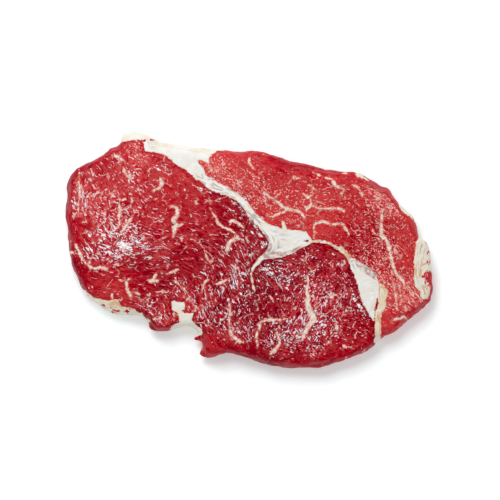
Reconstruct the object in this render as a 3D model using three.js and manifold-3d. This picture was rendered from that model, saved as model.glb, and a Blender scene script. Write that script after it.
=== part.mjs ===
// Raw boneless beef rib steak, lying on its flat underside.
// Millimetres, +Z up. X runs along the steak and Y across it. The origin is on the underside,
// in the middle of the steak's box.
// The steak is one solid: a flat foot, a rounded side, and a cut face on which three muscles
// crown up between lower lying seams of fat. Torn shreds of meat hang on its lower left edge.
import * as THREE from "three";
import { mergeVertices } from "three/addons/utils/BufferGeometryUtils.js";
import Module from "manifold-3d";

// Driving dimensions
const LENGTH = 227;
const WIDTH = 147;
const SEAM_HEIGHT = 17.6; // the cut face where a seam of fat crosses it
const MUSCLE_CROWN = 2.6; // how far the middle of a muscle stands above that
const CROWN_REACH = 13; // the distance from a muscle's border over which it crowns up
const WAIST_HEIGHT = 8.5; // the side bulges out furthest here
const FOOT_INSET = 4.2; // how far the side tucks in between the waist and the flat foot
const SEAM_SLOPE = 2.8; // half the width of the slope between muscle and fat
const WAVE_HEIGHT = 0.55; // the cut face's slow waves

// Ridges that run up the side: how many go round the steak, how deep they are, and how much
// they lean, in radians of their wave for each millimetre of height.
const SIDE_RIDGES = [
  { count: 23, depth: 0.3, lean: 0.13 },
  { count: 37, depth: 0.26, lean: -0.2 },
  { count: 61, depth: 0.18, lean: 0.3 },
  { count: 83, depth: 0.12, lean: -0.11 },
];

// Steps of the faceted surface
const LONG_STEPS = 78;
const SHORT_STEPS = 48;
const EDGE_STEPS = 2 * (LONG_STEPS + SHORT_STEPS);
const FOOT_ROWS = 2;
const SHOULDER_ROWS = 3;
const SEAM_STEP = 1;
const SMOOTHING_ROUNDS = 260;
const NORMAL_REACH = 3; // edge steps on each side that are averaged into an inward direction

// The edge seen from above, anticlockwise from its lower left: x, y and the width of the
// shoulder, over which the cut face rounds down to the side.
const TORN_EDGE = [
  [-98.5, -31, 6], [-92.5, -35.5, 6], [-84, -39.4, 5.5], [-75, -40.2, 5.5], [-67.5, -41.6, 5],
  [-62.3, -46.2, 4.5], [-57.5, -49.9, 4.5], [-50.5, -50, 4.5], [-45, -48.6, 5], [-36.5, -48.8, 5],
  [-31.3, -52, 5], [-29.9, -58, 5], [-28.8, -63.6, 5], [-23.6, -66.6, 5.5],
];
const LOWER_EDGE = [
  [-13, -64.4, 6], [-4.5, -66.7, 6], [5, -70.2, 6.5], [16, -72.6, 7], [31.5, -73.8, 7.5],
  [47, -72.3, 7.5], [59.5, -68.6, 7.5], [71, -63.8, 7], [79.6, -58.2, 6.5], [84, -54.4, 6.5],
  [91.5, -50, 7], [98.8, -43.3, 6.5], [106.5, -37.6, 6],
];
const RIM_FAT_EDGE = [
  [111, -31.8, 5], [113.4, -25, 5], [113.2, -14.5, 5], [112.2, -3.5, 5], [110, 5, 5],
  [105.8, 8.4, 5],
];
const CAP_EDGE = [
  [103.6, 13.5, 5], [100.8, 21, 5], [95.3, 26.6, 5], [90, 32, 5.5], [86, 37.5, 5.5],
  [81, 39.4, 6], [75.5, 44, 6.5], [69.3, 47.3, 7.5], [59.5, 48.9, 8], [47, 50.9, 9],
  [34.5, 53.4, 10], [22.3, 56.5, 11], [11.8, 59.8, 11], [1, 61.8, 10], [-9, 61.7, 9],
];
const FAT_FLAP_EDGE = [
  [-20, 62.2, 7], [-30.5, 63.6, 6], [-43, 65.5, 6], [-53.5, 67.4, 6.5], [-60.5, 70.2, 7],
  [-67.5, 72.9, 7.5], [-75.5, 73.1, 7.5], [-79.6, 70.6, 7],
];
const EYE_EDGE = [
  [-81.4, 65.8, 6], [-87.2, 62.8, 5], [-89.3, 60.2, 5], [-95, 57.4, 5], [-103, 53.2, 5],
  [-109.5, 47.8, 4.5], [-112.5, 40.5, 4.5], [-113.3, 27.5, 4.5], [-112.8, 13.5, 4.5],
  [-111.2, 0, 4.5], [-109, -12, 5], [-104.3, -23.3, 5.5],
];

// Fat that the cut face shows: the middle line as x, y and half the width there.
const SEAMS = {
  eyeToCap: [
    [-74, 69, 6], [-58, 64, 6], [-46, 58.5, 8.5], [-35, 53, 6.5], [-26, 43.5, 3.6],
    [-15, 37.5, 3.4], [-3, 30.5, 3], [6, 19.5, 2.8], [15, 11, 4.2], [26, 5.5, 7.5],
    [33, 5, 6.5], [39, 6, 2.5],
  ],
  capToLower: [
    [39, 6, 2.5], [50, 4.5, 1.6], [59, -2, 1.8], [65, -8, 2.8], [70, -17, 5.5],
    [74, -27, 6.2], [75.5, -37, 4], [76.5, -46, 2.6], [79, -57, 2.4],
  ],
  eyeToLower: [[26, 2, 4], [12, -3.5, 1.6], [3, -11, 1.2], [1, -24, 0.8]],
  rimFat: [[104, 8, 2.5], [107, 0, 4.5], [108, -14, 5], [107, -26, 3.5]],
  edgeFat: [[-98, -31, 2], [-88, -35.5, 4.5], [-77, -37.5, 4], [-68, -42, 2]],
  webFat: [[-45, -36, 3.6], [-42, -44, 5.5], [-33, -50, 3]],
};

// Shreds of meat on the torn edge: middle, half sizes, and the turn about Z in degrees.
const SHREDS = [
  { at: [-31.6, -54.2, 9], size: [4.2, 2, 3.4], turn: 24 },
  { at: [-89, -35.6, 6.5], size: [5.2, 2.6, 3.6], turn: -32 },
  { at: [-80.5, -38.6, 6], size: [7.5, 2.6, 3.8], turn: -3 },
  { at: [-55, -48, 9.5], size: [8.6, 3.2, 5], turn: -3 },
  { at: [-24.5, -63.6, 8], size: [7, 3.8, 5.5], turn: 12 },
];
const SHRED_STEPS = [14, 9];
const SHRED_LUMPS = 0.14; // how far a shred strays from a smooth lens, as a share of its size

// How far the side stands out from its smooth line, at a share of the way round the edge.
function ridge(turn, height) {
  const wave = ({ count, depth, lean }) => depth * Math.sin(2 * Math.PI * count * turn + lean * height);
  return SIDE_RIDGES.reduce((sum, one) => sum + wave(one), 0);
}

function edgePoints() {
  const stretches = [TORN_EDGE, LOWER_EDGE, RIM_FAT_EDGE, CAP_EDGE, FAT_FLAP_EDGE, EYE_EDGE];
  const curve = new THREE.CatmullRomCurve3(
    stretches.flat().map(([x, y, shoulder]) => new THREE.Vector3(x, y, shoulder)),
    true,
    "centripetal",
  );
  curve.arcLengthDivisions = 8 * EDGE_STEPS;
  return curve.getSpacedPoints(EDGE_STEPS).slice(0, EDGE_STEPS);
}

// The direction into the steak at each edge point, averaged over its neighbours, so that
// the rows inside a sharp corner don't cross.
function inwardDirections(points) {
  const count = points.length;
  const at = (k) => points[(k + count) % count];
  return points.map((_, k) => {
    const along = at(k + NORMAL_REACH).clone().sub(at(k - NORMAL_REACH));
    return new THREE.Vector2(-along.y, along.x).normalize();
  });
}

function seamPoints() {
  return Object.values(SEAMS).flatMap((line) => {
    const curve = new THREE.CatmullRomCurve3(line.map((p) => new THREE.Vector3(...p)));
    return curve.getSpacedPoints(Math.ceil(curve.getLength() / SEAM_STEP));
  });
}

// The distance to the nearest fat, less than nothing inside it.
function distanceToFat(x, y, fat) {
  let nearest = Infinity;
  for (const p of fat) nearest = Math.min(nearest, Math.hypot(x - p.x, y - p.y) - p.z);
  return nearest;
}

function faceHeight(x, y, fat) {
  const fromFat = distanceToFat(x, y, fat);
  const step = THREE.MathUtils.smoothstep(fromFat, -SEAM_SLOPE, SEAM_SLOPE);
  const crown = 1 - Math.exp(-Math.max(fromFat, 0) / CROWN_REACH);
  const waves = Math.sin(x / 17 + 1.3) * Math.cos(y / 13 - 0.4) + 0.6 * Math.sin((x + 2 * y) / 21);
  return SEAM_HEIGHT + MUSCLE_CROWN * (0.35 * step + 0.65 * crown) + WAVE_HEIGHT * waves;
}

// The rows of the side, from the flat foot's rim up to the border of the cut face.
function sideRows(edge, inward, fat) {
  const row = (inset, height) =>
    edge.map((p, k) => {
      const z = height(p, k);
      const moved = inset(p) - ridge(k / EDGE_STEPS, z);
      return new THREE.Vector3(p.x + inward[k].x * moved, p.y + inward[k].y * moved, z);
    });
  const rows = [];
  for (let r = 0; r < FOOT_ROWS; r++) {
    const angle = (Math.PI / 2) * (1 - r / FOOT_ROWS);
    rows.push(row(() => FOOT_INSET * (1 - Math.cos(angle)), () => WAIST_HEIGHT * (1 - Math.sin(angle))));
  }
  const border = row((p) => p.z, () => 0).map((p) => faceHeight(p.x, p.y, fat));
  for (let r = 0; r <= SHOULDER_ROWS; r++) {
    const angle = (Math.PI / 2) * (r / SHOULDER_ROWS);
    rows.push(
      row(
        (p) => p.z * (1 - Math.cos(angle)),
        (p, k) => WAIST_HEIGHT + (border[k] - WAIST_HEIGHT) * Math.sin(angle),
      ),
    );
  }
  return rows;
}

// The cut face's grid. Its border is the side's last row; the points inside start as a blend
// of the four borders and are smoothed until the cells follow the outline without folding.
function faceGrid(border, fat) {
  const [n, m] = [LONG_STEPS, SHORT_STEPS];
  const bottom = (i) => border[i];
  const right = (j) => border[n + j];
  const top = (i) => border[2 * n + m - i];
  const left = (j) => border[(EDGE_STEPS - j) % EDGE_STEPS];
  const grid = [];
  for (let i = 0; i <= n; i++) {
    grid.push([]);
    for (let j = 0; j <= m; j++) {
      const [u, v] = [i / n, j / m];
      const p = new THREE.Vector3();
      p.addScaledVector(bottom(i), 1 - v).addScaledVector(top(i), v);
      p.addScaledVector(left(j), 1 - u).addScaledVector(right(j), u);
      p.addScaledVector(bottom(0), -(1 - u) * (1 - v)).addScaledVector(bottom(n), -u * (1 - v));
      p.addScaledVector(top(0), -(1 - u) * v).addScaledVector(top(n), -u * v);
      grid[i].push(p);
    }
  }
  for (let j = 0; j <= m; j++) [grid[0][j], grid[n][j]] = [left(j).clone(), right(j).clone()];
  for (let i = 0; i <= n; i++) [grid[i][0], grid[i][m]] = [bottom(i).clone(), top(i).clone()];
  for (let round = 0; round < SMOOTHING_ROUNDS; round++) smoothGrid(grid);
  for (let i = 1; i < n; i++) {
    for (let j = 1; j < m; j++) grid[i][j].z = faceHeight(grid[i][j].x, grid[i][j].y, fat);
  }
  return grid;
}

// One round of elliptic smoothing, which keeps the grid lines apart at hollow corners.
function smoothGrid(grid) {
  for (let i = 1; i < LONG_STEPS; i++) {
    for (let j = 1; j < SHORT_STEPS; j++) {
      const [e, w, t, b] = [grid[i + 1][j], grid[i - 1][j], grid[i][j + 1], grid[i][j - 1]];
      const [ux, uy, vx, vy] = [e.x - w.x, e.y - w.y, t.x - b.x, t.y - b.y].map((d) => d / 2);
      const alpha = vx * vx + vy * vy;
      const beta = ux * vx + uy * vy;
      const gamma = ux * ux + uy * uy;
      for (const axis of ["x", "y"]) {
        const twist =
          grid[i + 1][j + 1][axis] - grid[i - 1][j + 1][axis] - grid[i + 1][j - 1][axis] + grid[i - 1][j - 1][axis];
        const sum = alpha * (e[axis] + w[axis]) + gamma * (t[axis] + b[axis]) - 0.5 * beta * twist;
        grid[i][j][axis] = sum / (2 * (alpha + gamma));
      }
    }
  }
}

function bodyGeometry() {
  const fat = seamPoints();
  const edge = edgePoints();
  const rows = sideRows(edge, inwardDirections(edge), fat);
  const grid = faceGrid(rows[rows.length - 1], fat);
  const corners = [];
  const triangle = (a, b, c) => corners.push(...a.toArray(), ...b.toArray(), ...c.toArray());
  const quad = (a, b, c, d) => {
    triangle(a, b, c);
    triangle(a, c, d);
  };
  for (let r = 0; r + 1 < rows.length; r++) {
    for (let k = 0; k < EDGE_STEPS; k++) {
      const next = (k + 1) % EDGE_STEPS;
      quad(rows[r][k], rows[r][next], rows[r + 1][next], rows[r + 1][k]);
    }
  }
  // A cell is split towards the nearest corner of the grid, where its own corner is nearly flat.
  for (let i = 0; i < LONG_STEPS; i++) {
    for (let j = 0; j < SHORT_STEPS; j++) {
      const cell = [grid[i][j], grid[i + 1][j], grid[i + 1][j + 1], grid[i][j + 1]];
      if (i < LONG_STEPS / 2 !== j < SHORT_STEPS / 2) cell.push(cell.shift());
      quad(...cell);
    }
  }
  const foot = rows[0];
  for (const [a, b, c] of THREE.ShapeUtils.triangulateShape(foot.map((p) => new THREE.Vector2(p.x, p.y)), [])) {
    triangle(foot[a], foot[c], foot[b]);
  }
  const geometry = new THREE.BufferGeometry();
  geometry.setAttribute("position", new THREE.Float32BufferAttribute(corners, 3));
  return geometry;
}

function shredGeometry({ at, size, turn }) {
  const geometry = new THREE.SphereGeometry(1, ...SHRED_STEPS);
  const points = geometry.getAttribute("position");
  for (let k = 0; k < points.count; k++) {
    const p = new THREE.Vector3().fromBufferAttribute(points, k);
    p.multiplyScalar(1 + SHRED_LUMPS * Math.sin(5 * p.x + at[0]) * Math.cos(4 * p.z + at[1]));
    points.setXYZ(k, p.x, p.y, p.z);
  }
  geometry.scale(...size);
  geometry.rotateZ(THREE.MathUtils.degToRad(turn));
  return geometry.translate(...at);
}

const wasm = await Module();
wasm.setup();

function solidOf(geometry) {
  const bare = geometry.clone();
  bare.deleteAttribute("normal");
  bare.deleteAttribute("uv");
  const merged = mergeVertices(bare, 1e-4);
  return new wasm.Manifold(
    new wasm.Mesh({
      numProp: 3,
      vertProperties: merged.getAttribute("position").array,
      triVerts: new Uint32Array(merged.getIndex().array),
    }),
  );
}

function geometryOf(solid) {
  const mesh = solid.getMesh();
  const geometry = new THREE.BufferGeometry();
  geometry.setAttribute("position", new THREE.BufferAttribute(mesh.vertProperties, 3));
  geometry.setIndex(new THREE.BufferAttribute(mesh.triVerts, 1));
  return geometry;
}

// Sets the box's length and width to the driving dimensions, and its middle over the origin.
function fitToSize(geometry) {
  geometry.computeBoundingBox();
  const { min, max } = geometry.boundingBox;
  geometry.translate(-(min.x + max.x) / 2, -(min.y + max.y) / 2, -min.z);
  return geometry.scale(LENGTH / (max.x - min.x), WIDTH / (max.y - min.y), 1);
}

function steak() {
  const body = SHREDS.reduce((whole, shred) => whole.add(solidOf(shredGeometry(shred))), solidOf(bodyGeometry()));
  const meat = new THREE.MeshStandardMaterial({ color: 0xad1f2b, roughness: 0.35, metalness: 0 });
  const geometry = fitToSize(geometryOf(body));
  geometry.computeVertexNormals();
  const mesh = new THREE.Mesh(geometry, meat);
  mesh.name = "steak";
  return mesh;
}

const group = new THREE.Group();
group.add(steak());

export default group;
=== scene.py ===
import math

import bpy
import numpy as np
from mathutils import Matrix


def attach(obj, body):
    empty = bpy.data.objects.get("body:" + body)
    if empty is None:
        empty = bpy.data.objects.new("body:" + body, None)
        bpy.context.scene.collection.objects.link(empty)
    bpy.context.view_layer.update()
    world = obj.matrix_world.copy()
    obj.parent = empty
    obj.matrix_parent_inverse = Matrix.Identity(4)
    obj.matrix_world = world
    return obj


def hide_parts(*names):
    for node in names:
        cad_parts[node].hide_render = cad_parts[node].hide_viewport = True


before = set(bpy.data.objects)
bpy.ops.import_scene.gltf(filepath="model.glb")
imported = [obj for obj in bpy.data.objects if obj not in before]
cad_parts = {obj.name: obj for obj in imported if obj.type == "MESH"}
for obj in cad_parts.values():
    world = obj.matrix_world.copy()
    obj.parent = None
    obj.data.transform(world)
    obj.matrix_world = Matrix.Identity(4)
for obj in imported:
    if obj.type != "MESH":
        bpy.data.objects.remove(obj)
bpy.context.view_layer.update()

MM = 0.001
RANDOM_SEED = 7

# The photograph looks straight down. Its pixels are 0.62 mm each on the steak.
MM_PER_PIXEL = 0.62
PHOTO_MIDDLE = (249.5, 249.75)  # where the middle of the steak is
PHOTO_WIDTH = 500
FAR = 9.0  # distances from lines and loops are measured no further than this

# Camera and studio
LENS = 200
SENSOR = 36
SHARPEST_HEIGHT = 12  # the height at which the picture has exactly MM_PER_PIXEL
FLOOR_SIZE = 6000
FLOOR_DROP = 0.02  # keeps the floor clear of the flat underside
BLACK_LEVEL = (0.011, 0.011, 0.011)  # takes the haze of the room out of the darkest reds

# The worked mesh: the solid is remeshed at this size, and all but the foot is split once more.
REMESH_CELL = 1.43
FOOT_TOP = 0.6
SMOOTHING_ROUNDS = 6
SHOULDER_HEIGHT = 15

# The side becomes the cut face as the upright part of its normal grows past this, over the step.
SIDE_TILT = 0.80
TILT_STEP = 0.17

# Relief: how high it stands, and the size of its lumps. Those of bundles and fibres lie along the grain,
# across it and down.
BUNDLE_RELIEF = 0.42
BUNDLE_LUMPS = (7.5, 3.2, 6)
FIBRE_RELIEF = 0.26
FIBRE_LUMPS = (3.6, 1.7, 3)
MUSCLE_RELIEF = 0.4
MUSCLE_LUMPS = (14, 14, 9)
FAT_RELIEF = 0.12
FAT_LUMPS = (2.2, 2.2, 2.2)
VEIN_RELIEF = 0.12
LEAN_STEP = 0.8  # how far from the fat the relief of the lean is full
GROOVE_RELIEF = 0.32  # a groove runs in the lean along all fat
GROOVE_OFFSET = 0.3  # how far outside the fat it is deepest
GROOVE_WIDTH = 0.9
FOOT_FADE = 2.5  # how far above the foot the relief is full

# The left rim swells out a little further than the solid's.
LEFT_SWELL = 0.9
SWELL_START = 92  # left of the middle
SWELL_RISE = 16  # how much further left it is full
SWELL_MIDDLE = 4  # behind the middle
SWELL_REACH = 62  # to both sides of that
SWELL_FADE = 20  # over which it fades at both ends

# Seams on the side: how far they stray for each millimetre down, and the length of their bends.
SEAM_STRAY = 0.25
SEAM_BENDS = (7, 7, 6)

# One muscle's red turns to the next one's over about four times this.
MUSCLE_STEP = 0.25

# The width of a vein or a painted glint at its tips, as a share of its widest.
VEIN_TIP = 0.35

# Fat that shows on the cut face: loops of photograph pixels, and how cream it is, from 0 to 1.
FAT_PATCHES = {
    "great_seam": (0.05, [
        (142, 140), (144, 146), (146, 151.5), (153, 152), (160, 153.5), (168, 158), (178, 166), (190, 173),
        (195, 179), (201, 181.5), (205, 186), (210, 190), (217, 192.5), (225, 195), (232, 198), (238, 202),
        (243, 208), (248, 214), (253, 221), (258, 227), (263, 233), (267, 239), (268, 246), (263, 254),
        (258, 258), (254, 263), (251, 268), (252.5, 269), (257, 265), (262, 260.5), (268, 258), (275, 258),
        (283, 256), (290, 254), (297, 250), (304, 246), (311, 242.6), (303, 240.8), (311, 239.4),
        (309, 236), (305, 231.5), (295, 230), (287, 229), (284, 222), (281.5, 221), (281, 228), (275, 226),
        (268, 223), (262, 219.5), (257, 215), (253, 210), (249, 204), (244, 199), (238, 194), (232, 190),
        (225, 186), (218, 183), (210, 178), (205, 175), (204, 169), (199, 164), (197, 160), (203, 161.5),
        (209, 163), (209, 159), (211, 155), (216, 151.5), (222, 149), (216, 138), (180, 132), (146, 132),
    ]),
    "top_bulge": (0.3, [
        (142, 140), (131, 140), (125, 141), (118, 143), (111, 145.5), (108, 140), (118, 124), (160, 124),
        (180, 134), (160, 138), (143, 138.6),
    ]),
    "island": (0.12, [
        (349, 258), (350, 268), (353, 275), (356, 282), (358, 290), (360, 298), (363, 305), (367, 312),
        (371, 319), (373, 319), (374, 308), (376, 300), (377, 290), (377.5, 281), (375, 274.5), (370, 269),
        (363, 264), (356, 260),
    ]),
    "cream_patch": (0.75, [
        (377, 285), (381, 283.5), (386, 289), (386.5, 296), (384, 301), (378, 303), (376, 294),
    ]),
    "tendon_strip": (0.8, [
        (378, 302), (382, 300), (385, 302), (384, 308), (381, 313), (380, 320), (380, 330), (380.5, 337),
        (382, 344), (374, 344), (374, 334), (374, 322), (374.5, 312), (376.5, 306),
    ]),
    "right_rim": (0.35, [
        (416, 220), (417.5, 229), (418, 236), (415.5, 241), (414, 248), (413, 258), (413, 270), (413, 280),
        (415, 287), (418, 291), (420, 297), (426, 299), (429, 294), (427, 286), (424, 282), (425, 272),
        (429, 271), (440, 268), (440, 236), (426, 232), (420, 219),
    ]),
    "lower_left_rim": (0.9, [
        (85, 290), (89, 293.5), (94, 297), (100, 299), (107, 300.5), (112, 299.5), (116, 298.5),
        (118, 300.5), (119.5, 303.5), (122, 306), (127, 307), (132, 308), (136, 310.5), (138, 313),
        (141, 313), (145, 317), (150, 321), (140, 326), (110, 322), (80, 305),
    ]),
    "web": (0.3, [
        (171, 302), (173.5, 300.5), (178, 301.5), (184, 301.5), (184.5, 308), (183, 311), (187, 313),
        (193, 313), (192, 318), (193, 322), (197, 326), (202, 331), (196, 337), (170, 336), (170, 328),
        (173, 325), (178, 322.5), (179, 319), (178, 316), (176, 312), (172, 309),
    ]),
    "top_rim_left": (0.5, [(322, 167.5), (330, 170), (338, 172), (346, 173.5), (348, 160), (322, 158)]),
    "top_rim_right": (0.5, [(354, 173), (358, 176.5), (363, 178), (370, 180), (372, 168), (354, 166)]),
    "left_skin": (0.4, [(83, 159), (89, 154), (96, 149.5), (99, 152), (93, 156.5), (87, 162)]),
    "rim_chip": (0.1, [(424, 283), (428, 281.5), (430, 287), (427.5, 293), (424, 291)]),
    "skin_patch": (0.35, [(399, 207), (406, 214), (411, 218), (415, 221), (421, 216), (404, 200)]),
}

# These are thin skins, which reach only a few millimetres down the side.
THIN_SKINS = ("left_skin", "rim_chip", "top_rim_left", "top_rim_right", "skin_patch")
SKIN_REACH = 4  # below the shoulder
SKIN_FADE = 0.3  # how much a skin narrows for each millimetre beyond that
SKIN_WANDER = 7.0  # how far a skin's edge strays there
SKIN_LUMPS = (9, 9, 3.5)  # and the size of its bays, longer along the rim than they are high

# Narrow seams between muscles: half their width in pixels, how cream they are, and their line.
FAT_LINES = [
    (1.35, 0.25, [(309, 241), (318, 241), (327, 242.5), (334, 246), (341, 251), (347, 257), (350, 264)]),
    (1.1, 0.5, [(264, 257), (258, 261), (253, 267), (251, 273), (251.5, 280), (253, 287), (254, 291)]),
    (0.7, 0.6, [(340, 246), (346, 252), (351, 258), (352, 262)]),
]

# Veins of fat in the lean: half their width in pixels where they are widest, and their line.
VEINS = [
    # Cap muscle
    (1.25, [(263, 192), (268, 196), (272, 199), (280, 204), (285, 208), (292, 210), (299, 212),
            (303, 216), (305, 219)]),
    (0.95, [(266, 214), (270, 216.5), (276, 215), (280, 213), (284.5, 211.5), (285, 208)]),
    (1.05, [(302, 194), (308, 197), (310.5, 202), (309.5, 207), (305, 209)]),
    (1.35, [(309.5, 206), (314, 206), (318, 208.5), (325, 208.5), (332, 208), (339, 209), (344, 211)]),
    (1.1, [(325, 178), (331, 180), (335, 186), (341, 188.5), (343, 191.5), (340, 194)]),
    (0.75, [(352, 185), (357, 188), (360, 192), (361, 197)]),
    (1.15, [(313, 240), (313.5, 232), (313, 226), (316, 223), (324, 221.5), (330, 224), (340, 223.5),
            (344, 227), (348, 234)]),
    (1.5, [(249, 158), (248.5, 162), (251, 166), (253, 169.5)]),
    (0.65, [(305, 182), (311, 187), (319, 192)]), (0.7, [(312, 172), (318, 175), (321, 177)]),
    (1.45, [(381, 212), (380.5, 222), (380, 232), (381, 236), (385.5, 240), (388, 247), (390, 255),
            (391, 262), (394, 270), (398, 276), (402, 281), (403, 287)]),
    (0.9, [(383, 209), (381, 213), (380, 218)]),
    (1.1, [(390, 321), (394, 319), (399, 318), (402, 316), (406, 318)]),
    (0.7, [(392, 281), (394, 290), (395, 300), (396, 310)]), (0.6, [(398, 282), (399, 292), (399, 304)]),
    (0.7, [(286, 196), (287, 200)]), (0.8, [(293, 176), (294, 179), (297, 178)]),
    (0.7, [(372, 230), (374, 234), (380, 236)]),
    # Eye muscle
    (1.9, [(170, 206.5), (175, 207), (177, 211), (176.5, 216), (173, 220), (176, 225),
           (174, 231), (173, 237)]),
    (1.0, [(175, 228), (179, 226), (182, 224)]), (1.3, [(124, 168), (125, 173), (128, 176), (131, 179)]),
    (1.2, [(114, 156), (118, 157.5), (123, 160)]),
    (1.3, [(160, 178), (161.5, 183), (162, 186), (157, 189), (152, 191)]),
    (1.2, [(119, 203), (120, 210), (119, 217), (119.5, 224), (118, 228)]),
    (1.0, [(133, 215), (130, 220), (125, 227), (121, 232)]), (0.8, [(118, 199), (122, 200), (126, 199)]),
    (0.9, [(209, 208), (213, 213), (216, 218), (217, 222), (221, 226), (228, 229), (233, 232), (237, 236)]),
    (2.1, [(237, 236), (233, 239), (229, 242), (227, 247), (226, 252)]),
    (0.9, [(229, 225), (231, 220.5), (237, 223), (243, 227)]), (0.8, [(70, 253), (74, 252), (79, 254)]),
    (1.3, [(77, 244), (80, 250), (83, 258), (88, 264), (94, 268), (101, 267), (107, 269)]),
    (1.4, [(124, 277), (126, 282), (127, 287), (129, 292), (131, 299)]),
    (0.8, [(119, 280), (125, 280), (131, 278)]), (0.8, [(130, 292), (135, 292), (140, 294)]),
    (1.0, [(147, 279.5), (152, 281), (159, 280)]), (0.9, [(152, 280), (155, 276), (156.5, 273)]),
    (0.9, [(112, 294), (112.5, 299)]), (1.0, [(201, 292), (203, 286), (205, 281), (208, 279)]),
    (0.9, [(205, 255), (210, 262), (213, 258)]), (0.9, [(214, 284), (220, 282.5), (226, 280), (229, 278)]),
    (0.7, [(174, 280), (180, 285), (186, 291), (189, 296), (186, 300)]),
    (0.7, [(167, 273), (173, 271), (179, 269)]), (0.7, [(192, 303), (196, 307), (201, 310)]),
    (0.7, [(80, 170), (80.5, 182), (81, 194), (80, 206), (80.5, 217)]),
    (0.6, [(229, 300), (229.5, 312), (229, 324), (230, 332)]),
    # Lower muscle
    (1.0, [(307, 276), (307, 284), (306, 291)]),
    (2.6, [(306, 290), (307, 299), (308, 306), (311, 313), (313, 318), (309, 324), (305, 331), (301, 339)]),
    (1.1, [(288, 318), (280, 319), (270, 319.5), (261, 321), (258.5, 328), (256, 335), (257, 346)]),
    (1.4, [(276, 332), (278, 337), (279, 342), (276, 347), (270, 353)]),
    (1.7, [(229.5, 329), (232, 335), (237, 339), (243, 342)]), (1.2, [(335, 324), (336.5, 329)]),
    (1.2, [(342, 344), (345, 347)]), (1.0, [(326, 343), (329, 341)]), (0.9, [(344, 361), (346, 356)]),
    (0.8, [(362, 353), (365, 349)]), (0.8, [(269, 295), (273, 301)]),
    (0.8, [(330, 297), (334, 294), (338, 297)]),
]

# The borders of the cap muscle and of the lower muscle. What is in neither is the eye muscle.
CAP_MUSCLE = [
    (222, 149), (215, 152), (210, 156), (206, 161), (197, 161), (204, 169), (207, 177), (218, 184),
    (232, 192), (244, 201), (253, 212), (262, 222), (275, 228), (287, 231), (300, 233), (309, 238),
    (318, 241), (328, 243), (336, 247), (344, 253), (350, 262), (360, 272), (372, 280), (377, 285),
    (377, 300), (377, 315), (377, 330), (379, 345), (450, 345), (450, 120), (222, 120),
]
LOWER_MUSCLE = [
    (251, 268), (258, 262), (268, 257), (283, 254), (297, 249), (311, 241), (320, 241), (335, 247),
    (343, 253), (349, 262), (352, 272), (357, 284), (360, 298), (366, 310), (372, 318), (375, 330),
    (378, 345), (380, 400), (190, 400), (190, 338), (215, 336), (228, 346), (240, 346), (231, 335),
    (229, 322), (236, 306), (246, 292), (250, 280),
]

# Which way the fibres run: strokes as x and y in pixels, and degrees turned right from level.
GRAIN_STROKES = [
    # Eye muscle
    (76, 200, 88), (74, 235, 85), (92, 176, 62), (84, 218, 25), (104, 195, 50), (110, 160, 55),
    (128, 160, 40), (138, 176, 22), (152, 171, 26), (168, 180, 44), (146, 198, 48), (116, 215, 25),
    (146, 225, 24), (158, 221, 36), (192, 195, 26), (214, 190, 32), (236, 205, 50), (250, 222, 50),
    (258, 236, 58), (205, 222, 26), (190, 238, 16), (176, 226, 5), (98, 246, 0), (120, 240, 30),
    (128, 262, -12), (155, 266, -6), (176, 262, -20), (200, 266, 36), (222, 250, 30), (108, 284, -8),
    (86, 270, 70), (140, 290, -8), (152, 305, 35), (175, 288, 100), (198, 305, 38), (214, 296, 78),
    (236, 286, 92), (246, 300, 86), (228, 318, 80), (212, 330, 40), (225, 348, 25), (250, 357, 18),
    # Lower muscle
    (264, 274, 18), (284, 266, -4), (304, 254, -20), (326, 254, 28), (342, 270, 62), (352, 296, 66),
    (362, 316, 50), (292, 290, -15), (272, 300, 70), (318, 285, 40), (330, 305, 60), (300, 312, 75),
    (268, 332, 85), (290, 342, -15), (322, 338, -20), (350, 336, -35), (310, 362, 0), (350, 352, -22),
    # Cap muscle
    (228, 162, 42), (216, 172, 40), (242, 180, 36), (256, 200, 46), (270, 184, 38), (300, 190, 34),
    (332, 190, 34), (362, 188, 42), (290, 218, 20), (330, 216, 20), (345, 235, 42), (372, 215, 55),
    (372, 246, 46), (396, 226, 66), (400, 262, 72), (384, 280, 80), (404, 290, 76), (392, 312, 95),
    (412, 305, 60),
]
STROKE_REACH = 11

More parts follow.
